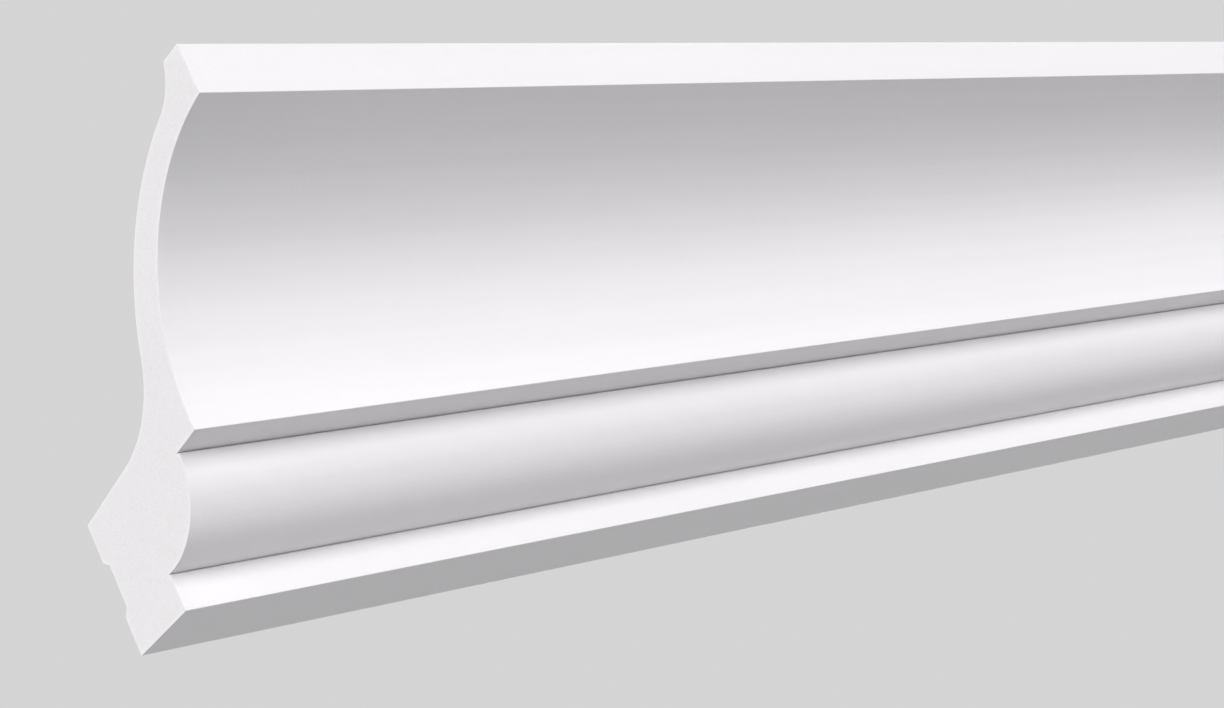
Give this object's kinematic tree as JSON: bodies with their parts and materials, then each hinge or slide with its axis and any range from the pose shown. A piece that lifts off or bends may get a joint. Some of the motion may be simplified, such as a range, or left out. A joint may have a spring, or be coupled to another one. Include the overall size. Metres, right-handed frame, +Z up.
{
  "type": "crown moulding",
  "caption": "Straight crown moulding for a wall-to-ceiling corner: flat band and deep cove above a stepped quarter-round bead and flat foot, hollow back, square-cut ends.",
  "frame": {"origin": "at mid-length on the bottom edge of the face that meets the wall, in the plane of the wall", "axes": "+X along the length, +Y into the wall, +Z up towards the ceiling; the room is on the -Y side"},
  "size_m": [1, 0.14, 0.14],
  "materials": {
    "primed_foam": "white factory primer, satin"
  },
  "bodies": {
    "root": {"crown_moulding": "primed_foam"}
  },
  "joints": []
}
